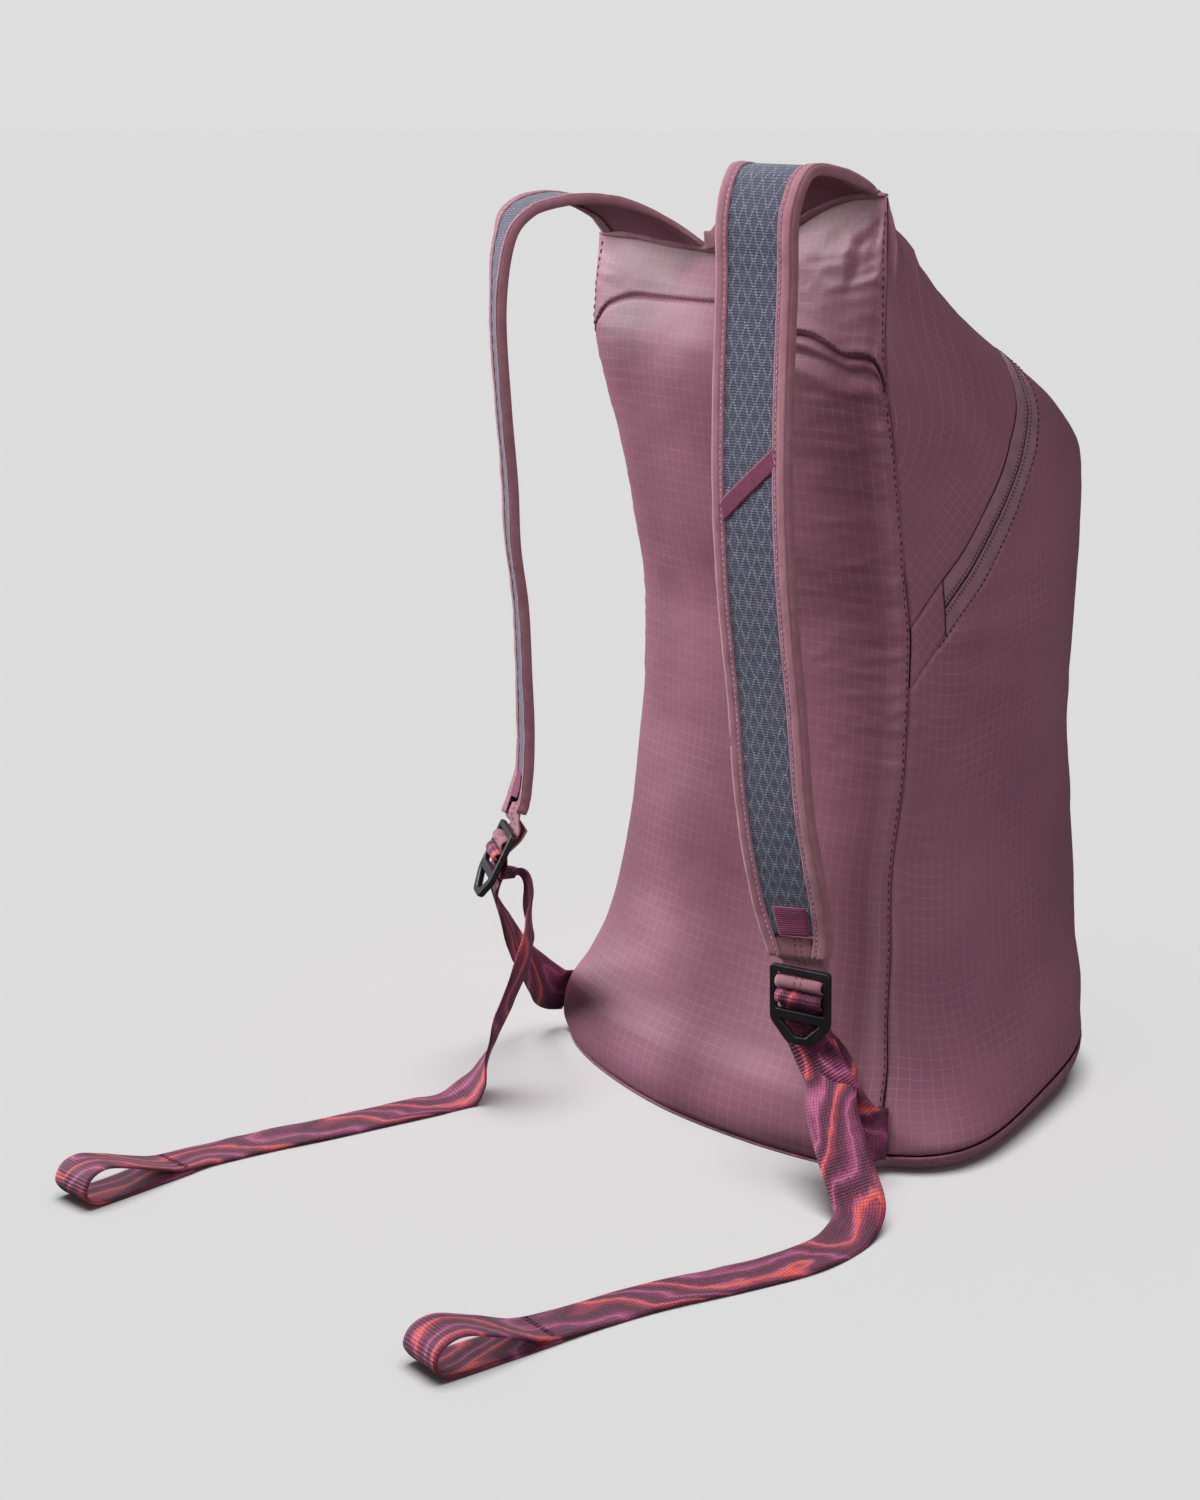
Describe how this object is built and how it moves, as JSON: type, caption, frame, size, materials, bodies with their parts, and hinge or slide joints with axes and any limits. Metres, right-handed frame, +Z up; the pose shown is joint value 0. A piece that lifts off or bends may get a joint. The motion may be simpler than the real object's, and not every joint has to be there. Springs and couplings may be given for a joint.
{
  "type": "packable backpack",
  "caption": "Packable daypack of thin ripstop cloth with an arched front zip, mesh shoulder straps, ladder-lock buckles and long webbing tails that end in pull loops.",
  "frame": {"origin": "on the floor below the bag, midway between its side seams, 84 mm in front of the foot of the side seams", "axes": "+Z up, -Y towards the wearer's back and the shoulder straps, +Y towards the front zip, +X to the right as seen from the strap side"},
  "size_m": [0.3434, 0.5585, 0.4825],
  "materials": {
    "ripstop": "thin satin ripstop with a fine lighter grid",
    "zip": "coil zip in the colour of the cloth",
    "strap_mesh": "slate blue air mesh with light zigzag columns",
    "binding": "brushed binding cloth with a dotted stitch line",
    "tape": "ribbed grosgrain tape",
    "webbing": "printed webbing, marbled in purple, magenta and orange",
    "buckle_plastic": "moulded, slightly satin"
  },
  "bodies": {
    "root": {"back_panel": "ripstop", "yoke_panel": "ripstop", "front_panel": "ripstop", "top_panel": "ripstop", "base_panel": "ripstop", "zip_tape_lower": "ripstop", "zip_tape_upper": "ripstop", "zip_coil": "zip", "zip_end_right": "ripstop", "zip_end_left": "ripstop", "zip_slider": "zip", "right_strap_mesh": "strap_mesh", "right_strap_backing": "binding", "right_strap_binding_outer": "binding", "right_strap_binding_inner": "binding", "right_strap_end_tab": "tape", "right_buckle": "buckle_plastic", "right_strap_tip": "binding", "right_webbing": "webbing", "left_strap_mesh": "strap_mesh", "left_strap_backing": "binding", "left_strap_binding_outer": "binding", "left_strap_binding_inner": "binding", "left_strap_end_tab": "tape", "left_buckle": "buckle_plastic", "left_strap_tip": "binding", "left_webbing": "webbing", "label_tape": "tape", "haul_loop": "binding"}
  },
  "joints": []
}
